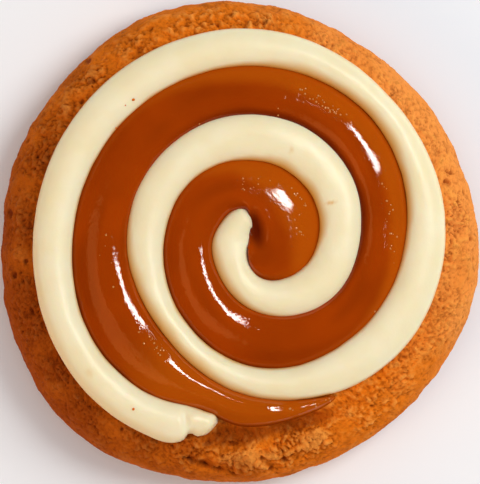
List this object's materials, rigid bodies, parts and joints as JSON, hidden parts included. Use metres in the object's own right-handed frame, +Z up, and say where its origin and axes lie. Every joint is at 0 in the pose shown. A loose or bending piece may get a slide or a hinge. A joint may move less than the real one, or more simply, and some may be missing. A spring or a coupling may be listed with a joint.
{
  "type": "dulce de leche cookie",
  "caption": "Thick round biscuit topped with a coiled spiral of piped cream and glossy caramel strands side by side.",
  "frame": {"origin": "middle of the flat underside, on the surface that the cookie lies on", "axes": "+Z up, out of the piped top; +X and +Y lie in the underside, and seen from above the coil ends in its tail near -Y"},
  "size_m": [0.1095, 0.1102, 0.0225],
  "materials": {
    "baked_biscuit": "matt golden brown baked crumb, browner at the edge",
    "cream": "smooth pale cream, soft satin",
    "caramel": "glossy wet caramel, amber where thin"
  },
  "bodies": {
    "root": {"biscuit": "baked_biscuit", "cream_swirl": "cream", "dulce_de_leche_swirl": "caramel"}
  },
  "joints": []
}
